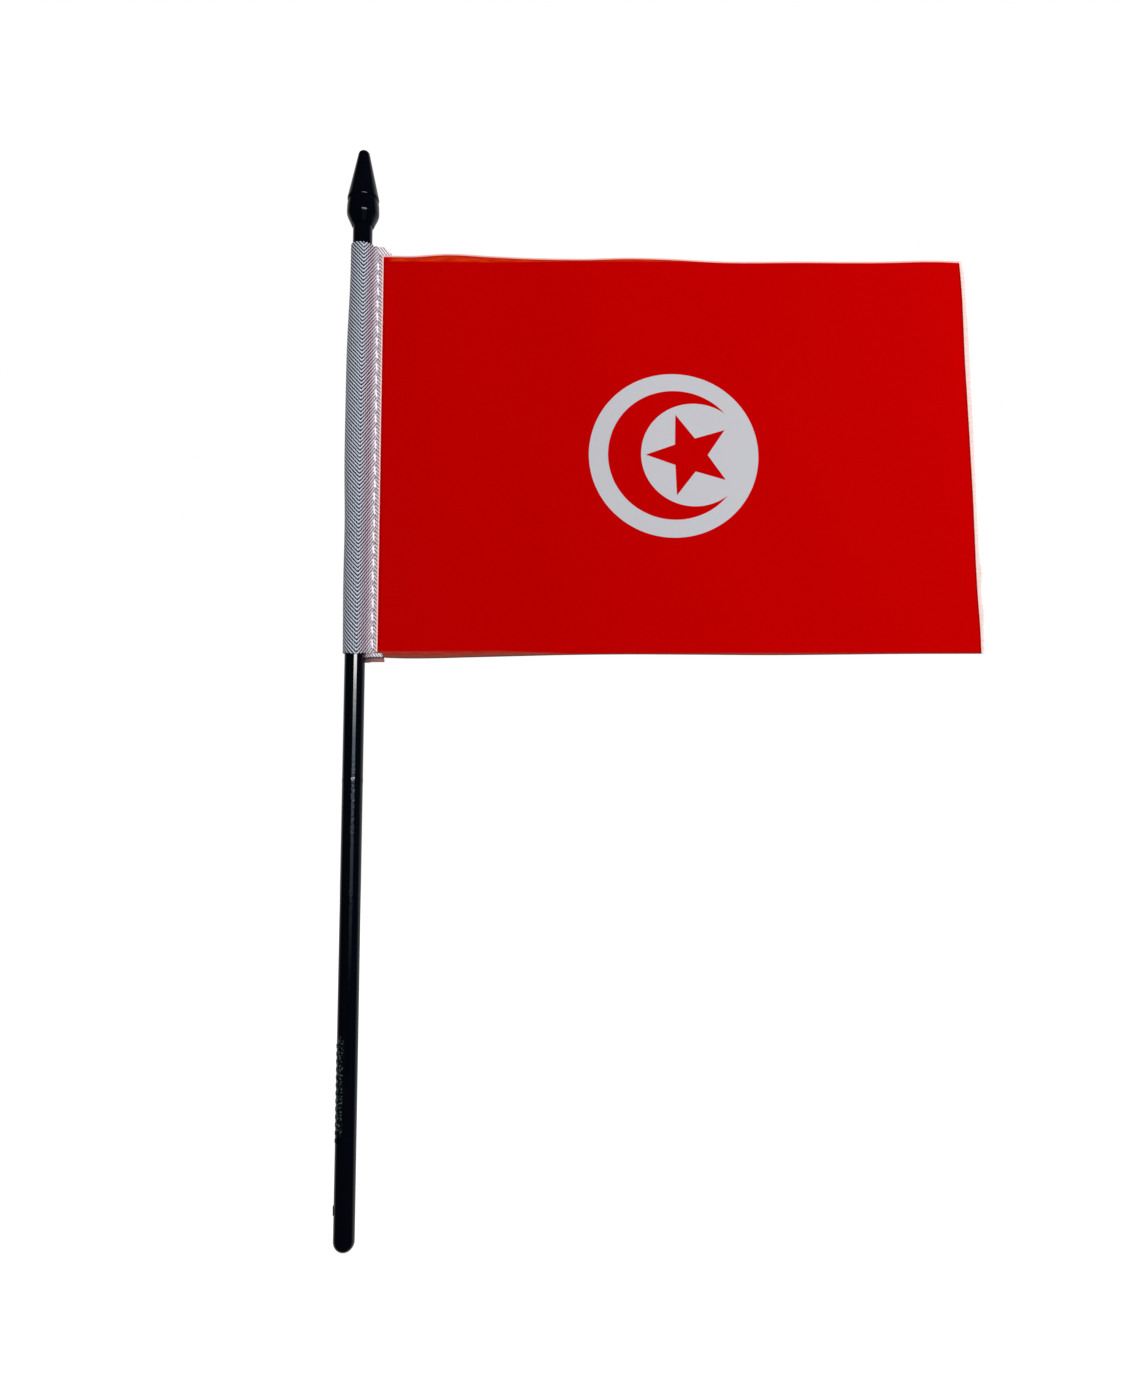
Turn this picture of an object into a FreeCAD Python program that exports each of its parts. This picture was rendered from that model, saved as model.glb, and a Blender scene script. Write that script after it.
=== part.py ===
"""A small stick flag: a printed cloth sewn into a woven band that turns round a moulded pole.

Millimetres. The origin is the tip of the pole's foot. +Z runs up the pole, +X points from the pole to the
free (fly) end of the cloth, and the front of the flag faces -Y.
"""
import FreeCAD, Part
import math
import os
import Sketcher

doc = FreeCAD.newDocument("StickFlag")
sizes = doc.addObject("Spreadsheet::Sheet", "Sizes")

# name, value (a number, or a formula starting with =), what it is
DIMENSIONS = [
    # pole
    ("pole_radius", "2.5", "round rod"),
    ("pole_top", "260.6", "top end of the rod, inside the finial"),
    ("pole_chamfer", "0.4", "chamfer on the top end"),
    ("bead_height", "108.6", "middle of the low moulded bead"),
    ("bead_half_width", "0.8", "half the bead's width along the pole"),
    ("bead_rise", "0.06", "how far the bead stands out"),
    ("mark_first", "24.7", "bottom of the lowest raised mark"),
    ("mark_pitch", "1.78", "spacing of the raised marks"),
    ("mark_length", "0.9", "height of one mark along the pole"),
    ("mark_rise", "0.2", "how far a mark stands out"),
    ("mark_root", "0.3", "how far a mark is rooted in the rod"),
    ("mark_start", "28", "degrees from -X towards -Y where the marks begin"),
    ("mark_end", "71", "degrees from -X towards -Y where the marks end"),
    ("nib_height", "9.2", "middle of the gate nib"),
    ("nib_radius", "1.1", "gate nib"),
    ("nib_rise", "0.18", "how far the nib stands out"),
    # finial
    ("cap_rim_radius", "2.87", "lower rim"),
    ("cap_bottom", "252.3", "height of the lower rim"),
    ("cap_radius", "4.15", "widest part of the skirt"),
    ("cap_widest", "255.85", "lower end of the widest part"),
    ("cap_straight", "0.9", "height of the widest part"),
    ("skirt_round", "3.2", "rounding under the widest part"),
    ("skirt_lean", "24", "degrees that the skirt leans in below its rounding"),
    ("cap_taper", "16", "radius of the curve from the widest part up to the groove"),
    ("groove_edge_radius", "4", "lower edge of the groove under the cone"),
    ("groove_edge", "258.6", "height of the groove's lower edge"),
    ("groove_radius", "3.84", "deepest line of the groove"),
    ("groove_height", "258.95", "height of the deepest line"),
    ("cone_round", "1.2", "rounding of the cone's foot"),
    ("cone_radius", "4.08", "foot of the cone"),
    ("cone_bottom", "259.75", "height of the foot of the cone"),
    ("tip_radius", "1.5", "blunt tip, before it is rounded"),
    ("tip_shoulder", "272.1", "height where the tip starts to round"),
    ("tip_round", "1.1", "rounding of the tip"),
    ("tip_top", "273.1", "top of the finial"),
    ("dimple_radius", "0.35", "gate dimple in the tip"),
    ("dimple_depth", "0.35", "gate dimple in the tip"),
    # hoist sleeve
    ("sleeve_bore", "2.58", "inside radius round the pole"),
    ("band_thickness", "0.4", "woven band"),
    ("band_bend", "0.9", "bend where the band leaves the pole, at mid thickness"),
    ("front_lip", "5.55", "edge of the band's front half, from the pole's axis"),
    ("back_lip", "7.1", "edge of the band's back half"),
    ("band_bottom", "138.5", "bottom of the band's back half"),
    ("band_top", "247", "top of the band's back half"),
    ("front_bottom", "139.7", "bottom of the band's front half"),
    ("front_top", "246.4", "top of the front half, at the pole"),
    ("front_top_lip", "244", "top of the front half, at its lip"),
    ("back_top_lip", "244.6", "top of the back half, at its lip"),
    # cloth
    ("cloth_thickness", "0.2", "printed polyester"),
    ("cloth_hoist", "3", "hidden edge of the cloth, inside the band"),
    ("cloth_fly", "156.4", "free edge of the cloth"),
    ("cloth_bottom", "138.9", "bottom of the cloth at the hoist"),
    ("cloth_top", "244.3", "top of the cloth at the hoist"),
    ("taper_end", "88", "where the unprinted top margin has run out"),
    # print
    ("ink_thickness", "0.03", "ink layer"),
    ("field_hoist", "5.75", "inner edge of the field, front"),
    ("field_hoist_back", "7.3", "inner edge of the field, back"),
    ("field_fly", "155.57", "outer edge of the field"),
    ("field_bottom", "139.75", "bottom of the field"),
    ("field_top", "242.65", "top of the field"),
    ("disc_x", "79.77", "centre of the white disc"),
    ("disc_z", "190.55", "centre of the white disc"),
    ("disc_radius", "21.5", "white disc"),
    ("crescent_x", "80.05", "centre of the crescent's outer circle"),
    ("crescent_radius", "16.95", "crescent's outer circle"),
    ("crescent_cut_x", "85", "centre of the crescent's inner circle"),
    ("crescent_cut_radius", "13.5", "crescent's inner circle"),
    ("star_x", "83.85", "centre of the star"),
    ("star_radius", "11.2", "star, out to its points"),
    ("star_waist", "4.55", "star, out to its inner corners"),
    # seam
    ("seam_x", "4.15", "line of stitches, from the pole's axis"),
    ("seam_bottom", "140.6", "lowest needle hole"),
    ("stitch_pitch", "3.4", "needle hole to needle hole"),
    ("thread_radius", "0.2", "sewing thread"),
    ("thread_turn", "0.3", "bend of the thread's middle line"),
    ("thread_gap", "0.02", "thread to thread, and thread to cloth"),
    ("hole_ease", "0.1", "play at each end of a stretched needle hole"),
    # worked out from the ones above
    ("sleeve_outside", "=sleeve_bore + band_thickness", "outside radius of the band"),
    ("cloth_half", "=cloth_thickness / 2", "half the cloth"),
    ("band_face", "=cloth_half + band_thickness", "outer face of the sewn band"),
    ("bend_rise", "=cloth_half + band_thickness / 2 + band_bend", "centre of the band's bend, off the cloth"),
    ("bend_reach", "=sleeve_bore + band_thickness / 2 + band_bend", "centre of the bend, from the axis"),
    ("bend_x", "=sqrt(bend_reach ^ 2 - bend_rise ^ 2)", "centre of the bend, along the cloth"),
    ("bend_inner", "=band_bend + band_thickness / 2", "bend radius of the band's inner face"),
    ("bend_outer", "=band_bend - band_thickness / 2", "bend radius of the band's outer face"),
    ("run_depth", "=band_face + thread_radius + thread_gap / 2", "thread on the band's face"),
    ("lock_depth", "=thread_radius + thread_gap", "thread where it turns inside the cloth"),
    ("hole_half_length", "=thread_turn + thread_radius + hole_ease", "half a needle hole, stretched"),
    ("hole_half_width", "=thread_radius + thread_gap", "half a needle hole, across"),
]
MARK_COUNT = 13
STITCH_COUNT = 30


def write_sizes():
    """Fill the sheet: one named value to a row."""
    for row, (name, value, meaning) in enumerate(DIMENSIONS, start=1):
        sizes.set(f"A{row}", name)
        sizes.set(f"B{row}", value)
        sizes.set(f"C{row}", meaning)
        sizes.setAlias(f"B{row}", name)
    doc.recompute()


def from_sheet(expression):
    """The same expression with every sheet name written as Sizes.name."""
    words = []
    word = ""
    names = {name for name, value, meaning in DIMENSIONS}
    for letter in expression + " ":
        if letter.isalnum() or letter == "_":
            word += letter
            continue
        words.append("Sizes." + word if word in names else word)
        words.append(letter)
        word = ""
    return "".join(words).strip()


def number(expression):
    """The value of an expression in millimetres or degrees."""
    value = sizes.evalExpression(from_sheet(expression))
    return float(getattr(value, "Value", value))


def new_body(label):
    body = doc.addObject("PartDesign::Body", label)
    body.Label = label
    return body


def origin_feature(body, role):
    return next(feature for feature in body.Origin.OriginFeatures if feature.Role == role)


def new_sketch(body, plane, name, offset=None):
    """A sketch on one of the body's own planes, moved along the plane's normal by an expression."""
    sketch = body.newObject("Sketcher::SketchObject", name)
    sketch.AttachmentSupport = [(origin_feature(body, plane), "")]
    sketch.MapMode = "FlatFace"
    if offset:
        sketch.setExpression("AttachmentOffset.Base.z", from_sheet(offset))
    doc.recompute()
    return sketch


def bind(sketch, constraint, expression):
    """Add a dimension to a sketch and drive it from the sheet."""
    index = sketch.addConstraint(constraint)
    sketch.setExpression(f"Constraints[{index}]", from_sheet(expression))


def fix_point(sketch, geometry, vertex, across, up):
    """Hold one point of a sketch at two expressions; 0 puts it on the sketch's own axis."""
    if across == "0":
        sketch.addConstraint(Sketcher.Constraint("PointOnObject", geometry, vertex, -2))
    else:
        bind(sketch, Sketcher.Constraint("DistanceX", -1, 1, geometry, vertex, number(across)), across)
    if up == "0":
        sketch.addConstraint(Sketcher.Constraint("PointOnObject", geometry, vertex, -1))
    else:
        bind(sketch, Sketcher.Constraint("DistanceY", -1, 1, geometry, vertex, number(up)), up)


def arc_between(start, end, radius, turn):
    """An arc from start to end. turn is 1 anticlockwise or -1 clockwise, and 2 or -2 the long way round."""
    chord = end - start
    side = 1 if turn in (1, -2) else -1
    height = math.sqrt(max(radius ** 2 - (chord.Length / 2) ** 2, 0))
    left = FreeCAD.Vector(-chord.y, chord.x, 0).normalize()
    centre = (start + end) * 0.5 + left * (side * height)
    first, last = (start, end) if turn > 0 else (end, start)
    begin = math.atan2(first.y - centre.y, first.x - centre.x)
    finish = math.atan2(last.y - centre.y, last.x - centre.x)
    circle = Part.Circle(centre, FreeCAD.Vector(0, 0, 1), radius)
    return Part.ArcOfCircle(circle, begin, finish)


def draw_path(sketch, corners, closed=True):
    """Draw corners (across, up) or (across, up, radius, turn): the last two bend the edge to the next corner."""
    points = [FreeCAD.Vector(number(corner[0]), number(corner[1]), 0) for corner in corners]
    edge_count = len(corners) if closed else len(corners) - 1
    edges = []
    for index in range(edge_count):
        start = points[index]
        end = points[(index + 1) % len(points)]
        if len(corners[index]) == 4:
            radius, turn = corners[index][2:]
            geometry = sketch.addGeometry(arc_between(start, end, number(radius), turn))
            ends = (1, 2) if turn > 0 else (2, 1)
        else:
            geometry = sketch.addGeometry(Part.LineSegment(start, end))
            ends = (1, 2)
        edges.append((geometry, ends))
    for index in range(edge_count):
        geometry, ends = edges[index]
        fix_point(sketch, geometry, ends[0], corners[index][0], corners[index][1])
        if closed or index + 1 < edge_count:
            following, following_ends = edges[(index + 1) % edge_count]
            joint = Sketcher.Constraint("Coincident", geometry, ends[1], following, following_ends[0])
            sketch.addConstraint(joint)
        else:
            fix_point(sketch, geometry, ends[1], corners[-1][0], corners[-1][1])
        if len(corners[index]) == 4:
            radius = corners[index][2]
            bind(sketch, Sketcher.Constraint("Radius", geometry, number(radius)), radius)
    doc.recompute()


def draw_circle(sketch, across, up, radius):
    centre = FreeCAD.Vector(number(across), number(up), 0)
    circle = Part.Circle(centre, FreeCAD.Vector(0, 0, 1), number(radius))
    geometry = sketch.addGeometry(circle)
    fix_point(sketch, geometry, 3, across, up)
    bind(sketch, Sketcher.Constraint("Radius", geometry, number(radius)), radius)
    doc.recompute()


def revolve(body, sketch, name):
    feature = body.newObject("PartDesign::Revolution", name)
    feature.Profile = sketch
    feature.ReferenceAxis = (sketch, ["V_Axis"])
    feature.Angle = 360
    doc.recompute()
    return feature


def pad(body, sketch, name, length, both_ways=False, backwards=False):
    feature = body.newObject("PartDesign::Pad", name)
    feature.Profile = sketch
    feature.setExpression("Length", from_sheet(length))
    feature.Midplane = both_ways
    feature.Reversed = backwards
    doc.recompute()
    return feature


def pocket(body, sketch, name, length, both_ways=False, backwards=False):
    """Cut a sketch away to a depth, and make sure that something was cut."""
    volume_before = body.Shape.Volume
    feature = body.newObject("PartDesign::Pocket", name)
    feature.Profile = sketch
    feature.setExpression("Length", from_sheet(length))
    feature.Midplane = both_ways
    feature.Reversed = backwards
    doc.recompute()
    if not body.Shape.Volume < volume_before:
        raise RuntimeError(f"{name} removed nothing")
    return feature


def groove(body, sketch, name):
    """Turn a sketch round the pole's axis to cut it away, and make sure that something was cut."""
    volume_before = body.Shape.Volume
    feature = body.newObject("PartDesign::Groove", name)
    feature.Profile = sketch
    feature.ReferenceAxis = (sketch, ["V_Axis"])
    feature.Angle = 360
    doc.recompute()
    if not body.Shape.Volume < volume_before:
        raise RuntimeError(f"{name} removed nothing")


def repeat_upwards(body, feature, name, pitch, count):
    """Repeat a feature up the pole."""
    pattern = body.newObject("PartDesign::LinearPattern", name)
    pattern.Originals = [feature]
    pattern.Direction = (origin_feature(body, "Z_Axis"), [""])
    pattern.Occurrences = count
    pattern.setExpression("Length", from_sheet(f"{pitch} * {count - 1}"))
    body.Tip = pattern
    doc.recompute()
    return pattern


def make_pole():
    """Round rod with a domed foot, a low bead, a row of raised marks and a gate nib."""
    body = new_body("pole")
    profile = new_sketch(body, "XZ_Plane", "pole_profile")
    bead_radius = "(bead_half_width ^ 2 + bead_rise ^ 2) / (2 * bead_rise)"
    draw_path(profile, [
        ("0", "0", "pole_radius", 1),
        ("pole_radius", "pole_radius"),
        ("pole_radius", "bead_height - bead_half_width", bead_radius, 1),
        ("pole_radius", "bead_height + bead_half_width"),
        ("pole_radius", "pole_top - pole_chamfer"),
        ("pole_radius - pole_chamfer", "pole_top"),
        ("0", "pole_top"),
    ])
    revolve(body, profile, "pole_rod")

    mark = new_sketch(body, "XY_Plane", "mark_outline", "mark_first")
    inside = "(pole_radius - mark_root)"
    outside = "(pole_radius + mark_rise)"
    draw_path(mark, [
        (f"-{outside} * cos(mark_start)", f"-{outside} * sin(mark_start)", outside, 1),
        (f"-{outside} * cos(mark_end)", f"-{outside} * sin(mark_end)"),
        (f"-{inside} * cos(mark_end)", f"-{inside} * sin(mark_end)", inside, -1),
        (f"-{inside} * cos(mark_start)", f"-{inside} * sin(mark_start)"),
    ])
    first_mark = pad(body, mark, "first_mark", "mark_length")
    repeat_upwards(body, first_mark, "marks", "mark_pitch", MARK_COUNT)

    nib = new_sketch(body, "YZ_Plane", "nib_outline")
    draw_circle(nib, "0", "nib_height", "nib_radius")
    pad(body, nib, "gate_nib", "pole_radius + 2 * nib_rise", backwards=True)
    nib_end = new_sketch(body, "XZ_Plane", "nib_end_trim")
    draw_path(nib_end, [
        ("pole_radius + nib_rise", "nib_height - 1.2 * nib_radius"),
        ("2 * pole_radius", "nib_height - 1.2 * nib_radius"),
        ("2 * pole_radius", "nib_height + 1.2 * nib_radius"),
        ("pole_radius + nib_rise", "nib_height + 1.2 * nib_radius"),
    ])
    groove(body, nib_end, "nib_end")
    return body


def make_finial():
    """Spear-shaped cap: a leaning skirt, a shallow groove, a cone and a blunt tip, bored for the pole."""
    body = new_body("finial")
    profile = new_sketch(body, "XZ_Plane", "finial_profile")
    draw_path(profile, [
        ("0", "cap_bottom"),
        ("cap_rim_radius", "cap_bottom"),
        ("cap_radius - skirt_round * (1 - cos(skirt_lean))", "cap_widest - skirt_round * sin(skirt_lean)",
         "skirt_round", 1),
        ("cap_radius", "cap_widest"),
        ("cap_radius", "cap_widest + cap_straight", "cap_taper", 1),
        ("groove_edge_radius", "groove_edge"),
        ("groove_radius", "groove_height", "cone_round", 1),
        ("cone_radius", "cone_bottom"),
        ("tip_radius", "tip_shoulder", "tip_round", 1),
        ("dimple_radius", "tip_top"),
        ("dimple_radius", "tip_top - dimple_depth"),
        ("0", "tip_top - dimple_depth"),
    ])
    revolve(body, profile, "finial_cap")
    bore = new_sketch(body, "XY_Plane", "bore_outline", "cap_bottom")
    draw_circle(bore, "0", "0", "pole_radius")
    pocket(body, bore, "pole_bore", "pole_top - cap_bottom", backwards=True)
    return body


def needle_hole(body, feature_name):
    """Stretched needle holes up the seam, through whatever the body is."""
    outline = new_sketch(body, "XZ_Plane", feature_name + "_outline")
    left = "seam_x - hole_half_width"
    right = "seam_x + hole_half_width"
    low = "seam_bottom - hole_half_length + hole_half_width"
    high = "seam_bottom + hole_half_length - hole_half_width"
    middle_low = "seam_bottom - hole_half_length"
    middle_high = "seam_bottom + hole_half_length"
    draw_path(outline, [
        (left, low, "hole_half_width", 1),
        ("seam_x", middle_low, "hole_half_width", 1),
        (right, low),
        (right, high, "hole_half_width", 1),
        ("seam_x", middle_high, "hole_half_width", 1),
        (left, high),
    ])
    hole = pocket(body, outline, feature_name, "4 * band_face", both_ways=True)
    repeat_upwards(body, hole, feature_name + "_row", "stitch_pitch", STITCH_COUNT + 1)


def make_hoist_sleeve():
    """Woven band folded round the pole; its two halves close on the cloth and are sewn through."""
    body = new_body("hoist_sleeve")
    section = new_sketch(body, "XY_Plane", "band_section", "band_bottom")
    touch_x = "bend_x / bend_reach"
    touch_y = "bend_rise / bend_reach"
    draw_path(section, [
        ("back_lip", "band_face"),
        ("bend_x", "band_face", "bend_outer", -1),
        (f"sleeve_outside * {touch_x}", f"sleeve_outside * {touch_y}", "sleeve_outside", 2),
        (f"sleeve_outside * {touch_x}", f"-sleeve_outside * {touch_y}", "bend_outer", -1),
        ("bend_x", "-band_face"),
        ("front_lip", "-band_face"),
        ("front_lip", "-cloth_half"),
        ("bend_x", "-cloth_half", "bend_inner", 1),
        (f"sleeve_bore * {touch_x}", f"-sleeve_bore * {touch_y}", "sleeve_bore", -2),
        (f"sleeve_bore * {touch_x}", f"sleeve_bore * {touch_y}", "bend_inner", 1),
        ("bend_x", "cloth_half"),
        ("back_lip", "cloth_half"),
    ])
    pad(body, section, "folded_band", "band_top - band_bottom")

    front_trim = new_sketch(body, "XZ_Plane", "front_top_trim")
    draw_path(front_trim, [
        ("-2 * sleeve_outside", "front_top + 0.3"),
        ("0", "front_top"),
        ("front_lip + 1", "front_top_lip - (front_top - front_top_lip) / front_lip"),
        ("front_lip + 1", "band_top + 1"),
        ("-2 * sleeve_outside", "band_top + 1"),
    ])
    pocket(body, front_trim, "front_top_cut", "2 * sleeve_outside", backwards=True)

    front_bottom_trim = new_sketch(body, "XZ_Plane", "front_bottom_trim")
    draw_path(front_bottom_trim, [
        ("-2 * sleeve_outside", "front_bottom"),
        ("front_lip + 1", "front_bottom"),
        ("front_lip + 1", "band_bottom - 1"),
        ("-2 * sleeve_outside", "band_bottom - 1"),
    ])
    pocket(body, front_bottom_trim, "front_bottom_cut", "2 * sleeve_outside", backwards=True)

    back_bottom_trim = new_sketch(body, "XZ_Plane", "back_bottom_trim")
    draw_path(back_bottom_trim, [
        ("-2 * sleeve_outside", "front_bottom"),
        ("-sleeve_outside", "front_bottom"),
        ("sleeve_outside", "band_bottom"),
        ("sleeve_outside", "band_bottom - 1"),
        ("-2 * sleeve_outside", "band_bottom - 1"),
    ])
    pocket(body, back_bottom_trim, "back_bottom_cut", "2 * sleeve_outside")

    back_trim = new_sketch(body, "XZ_Plane", "back_top_trim")
    draw_path(back_trim, [
        ("sleeve_outside", "band_top"),
        ("back_lip - 1", "band_top - 1"),
        ("back_lip + 0.5", "back_top_lip - 0.5"),
        ("back_lip + 0.5", "band_top + 1"),
        ("sleeve_outside", "band_top + 1"),
    ])
    pocket(body, back_trim, "back_top_cut", "2 * sleeve_outside")
    needle_hole(body, "band_hole")
    return body


def make_flag_cloth():
    """One flat cloth: its hoist edge is hidden in the band, and a narrow margin shows round the print."""
    body = new_body("flag_cloth")
    outline = new_sketch(body, "XZ_Plane", "cloth_outline")
    draw_path(outline, [
        ("cloth_hoist", "cloth_bottom"),
        ("taper_end / 3", "cloth_bottom"),
        ("taper_end / 2", "field_bottom - 0.2"),
        ("cloth_fly", "field_bottom - 0.2"),
        ("cloth_fly", "field_top + 0.1"),
        ("taper_end", "field_top + 0.1"),
        ("taper_end / 3", "cloth_top - 0.1"),
        ("cloth_hoist", "cloth_top"),
    ])
    pad(body, outline, "cloth_sheet", "cloth_thickness", both_ways=True)
    needle_hole(body, "cloth_hole")
    return body


def make_thread(label, side):
    """One thread of the lockstitch: it runs along the band's face and turns down into each needle hole."""
    body = new_body(label)
    run = f"{side} * run_depth"
    lock = f"{side} * lock_depth"
    run_bend = f"{side} * (run_depth - thread_turn)"
    lock_bend = f"{side} * (lock_depth + thread_turn)"
    spine = new_sketch(body, "YZ_Plane", label + "_spine", "seam_x")
    outward = -side
    draw_path(spine, [
        (lock, "seam_bottom", "thread_turn", outward),
        (lock_bend, "seam_bottom + thread_turn"),
        (run_bend, "seam_bottom + thread_turn", "thread_turn", -outward),
        (run, "seam_bottom + 2 * thread_turn"),
        (run, "seam_bottom + stitch_pitch - 2 * thread_turn", "thread_turn", -outward),
        (run_bend, "seam_bottom + stitch_pitch - thread_turn"),
        (lock_bend, "seam_bottom + stitch_pitch - thread_turn", "thread_turn", outward),
        (lock, "seam_bottom + stitch_pitch"),
    ], closed=False)
    end = new_sketch(body, "XY_Plane", label + "_end", "seam_bottom")
    draw_circle(end, "seam_x", lock, "thread_radius")
    stitch = body.newObject("PartDesign::AdditivePipe", label + "_stitch")
    stitch.Profile = end
    stitch.Spine = (spine, [])
    doc.recompute()
    repeat_upwards(body, stitch, label + "_stitches", "stitch_pitch", STITCH_COUNT)
    return body


def print_sketch(body, side, name):
    """A sketch on the cloth's front face (side -1) or back face (side 1)."""
    return new_sketch(body, "XZ_Plane", name, "cloth_half" if side == -1 else "-cloth_half")


def make_field_print(label, side):
    """Red ink over the whole field, with a round opening for the white disc."""
    body = new_body(label)
    outline = print_sketch(body, side, label + "_outline")
    hoist = "field_hoist" if side == -1 else "field_hoist_back"
    draw_path(outline, [
        (hoist, "field_bottom"),
        ("field_fly", "field_bottom"),
        ("field_fly", "field_top"),
        (hoist, "field_top"),
    ])
    draw_circle(outline, "disc_x", "disc_z", "disc_radius")
    pad(body, outline, label + "_ink", "ink_thickness", backwards=side == 1)
    return body


def make_crescent_print(label, side):
    """Red crescent: a circle less a smaller circle set towards the fly."""
    body = new_body(label)
    outline = print_sketch(body, side, label + "_outline")
    shift = "(crescent_cut_x - crescent_x)"
    tip = f"((crescent_radius ^ 2 - crescent_cut_radius ^ 2 + {shift} ^ 2) / (2 * {shift}))"
    rise = f"sqrt(crescent_radius ^ 2 - {tip} ^ 2)"
    draw_path(outline, [
        (f"crescent_x + {tip}", f"disc_z + {rise}", "crescent_radius", 2),
        (f"crescent_x + {tip}", f"disc_z - {rise}", "crescent_cut_radius", -2),
    ])
    pad(body, outline, label + "_ink", "ink_thickness", backwards=side == 1)
    return body


def make_star_print(label, side):
    """Red five-pointed star with one point towards the hoist."""
    body = new_body(label)
    outline = print_sketch(body, side, label + "_outline")
    corners = []
    for step in range(10):
        reach = "star_radius" if step % 2 == 0 else "star_waist"
        angle = 180 + 36 * step
        corners.append((f"star_x + {reach} * cos({angle})", f"disc_z + {reach} * sin({angle})"))
    draw_path(outline, corners)
    pad(body, outline, label + "_ink", "ink_thickness", backwards=side == 1)
    return body


def make_everything():
    write_sizes()
    bodies = [make_pole(), make_finial(), make_hoist_sleeve(), make_flag_cloth()]
    bodies.append(make_thread("needle_thread", -1))
    bodies.append(make_thread("bobbin_thread", 1))
    for side, face in ((-1, "front"), (1, "back")):
        bodies.append(make_field_print(f"field_print_{face}", side))
        bodies.append(make_crescent_print(f"crescent_print_{face}", side))
        bodies.append(make_star_print(f"star_print_{face}", side))
    return bodies


def save(bodies):
    """Check every object and write one STEP file to a body."""
    doc.recompute()
    for item in doc.Objects:
        if "Invalid" in item.State or "Error" in item.State:
            raise RuntimeError(f"{item.Label} did not compute: {item.State}")
    os.makedirs("parts", exist_ok=True)
    for body in bodies:
        if body.Shape.isNull() or not body.Shape.isValid():
            raise RuntimeError(f"{body.Label} has no valid shape")
        body.Shape.exportStep(f"parts/{body.Label}.step")
        box = body.Shape.BoundBox
        print(f"{body.Label}: {len(body.Shape.Solids)} solid, {body.Shape.Volume:.2f} mm3,"
              f" x {box.XMin:.2f} to {box.XMax:.2f}, y {box.YMin:.2f} to {box.YMax:.2f},"
              f" z {box.ZMin:.2f} to {box.ZMax:.2f}")


save(make_everything())
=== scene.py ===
"""Looks for the stick flag: woven sleeve, printed cloth, lockstitch threads, glossy black pole and finial.

The soft pieces and their patterns are in millimetres up to the point where a mesh is made. The plastic's
pattern, the lights and the window are in metres. x runs along the cloth from the pole, y to the back, z up.
"""
import math

import bmesh
import bpy
import numpy as np
from mathutils import Matrix, Vector


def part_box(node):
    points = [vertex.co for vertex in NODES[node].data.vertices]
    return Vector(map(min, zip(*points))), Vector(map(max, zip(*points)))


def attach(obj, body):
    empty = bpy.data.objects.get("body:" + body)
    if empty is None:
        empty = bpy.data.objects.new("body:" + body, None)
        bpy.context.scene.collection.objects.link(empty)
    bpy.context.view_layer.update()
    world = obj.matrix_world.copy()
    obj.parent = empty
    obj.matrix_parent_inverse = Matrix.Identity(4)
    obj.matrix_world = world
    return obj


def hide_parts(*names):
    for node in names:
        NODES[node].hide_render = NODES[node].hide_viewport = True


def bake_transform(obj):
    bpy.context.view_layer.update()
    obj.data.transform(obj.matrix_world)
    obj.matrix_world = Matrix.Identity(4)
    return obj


MM = 0.001
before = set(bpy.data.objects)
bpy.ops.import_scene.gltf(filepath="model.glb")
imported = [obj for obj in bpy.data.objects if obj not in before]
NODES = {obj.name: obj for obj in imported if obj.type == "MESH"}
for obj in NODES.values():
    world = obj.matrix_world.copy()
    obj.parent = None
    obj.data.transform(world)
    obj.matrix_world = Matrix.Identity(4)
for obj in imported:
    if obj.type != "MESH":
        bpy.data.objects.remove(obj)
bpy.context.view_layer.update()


def node_box(name):
    """Lowest and highest corner of one node of the frame, in millimetres."""
    low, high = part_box(name)
    return low / MM, high / MM


# sizes read from the frame
sleeve_low, sleeve_high = node_box("hoist_sleeve")
cloth_low, cloth_high = node_box("flag_cloth")
field_low, field_high = node_box("field_print_front")
crescent_low, crescent_high = node_box("crescent_print_front")
star_low, star_high = node_box("star_print_front")
thread_low, thread_high = node_box("needle_thread")

# woven band
BORE_RADIUS = 2.58                      # inside of the band, round the pole
BACK_LIP = sleeve_high.x                # x of the band's edge behind the cloth
FRONT_LIP = field_low.x - 0.2           # x of the band's edge in front of the cloth
BAND_BOTTOM, BAND_TOP = sleeve_low.z, sleeve_high.z
RIB_RELIEF = 0.04                       # height of the ribs off the band's face
BAND_THICK = sleeve_high.y - BORE_RADIUS - RIB_RELIEF
CLOTH_HALF = cloth_high.y               # half the cloth's thickness
MIDDLE = CLOTH_HALF + BAND_THICK / 2    # middle of the band, off the cloth's middle
LEAVE = math.radians(52)                # bearing, off the cloth, at which the band leaves the pole
BEND = 1.0                              # radius of the bend where the band turns along the cloth
TURN_AT = 0.85                          # place of the turn of the ribs in front of the pole
ZONE = 4.5                              # width of one herringbone zone
RIB_PITCH = 1.0                         # rib to rib, up the band
RIB_SLOPE = 1.27                        # rise of a rib along its run
RIB_SKEW = 0.1                          # rise of the whole weave towards the cloth
RIB_TURN = 0.15                         # rounding of the ribs where they turn back
YARN = 0.55                             # width of one yarn

# stitches
SEAM_X = (thread_low.x + thread_high.x) / 2
THREAD_RADIUS = (thread_high.x - thread_low.x) / 2
STITCH_COUNT = 30
STITCH_PITCH = (thread_high.z - thread_low.z) / STITCH_COUNT
PLY_COUNT = 3
PLY_TWIST = 5.5                         # turn of the plies along the thread, in radians per millimetre

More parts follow.
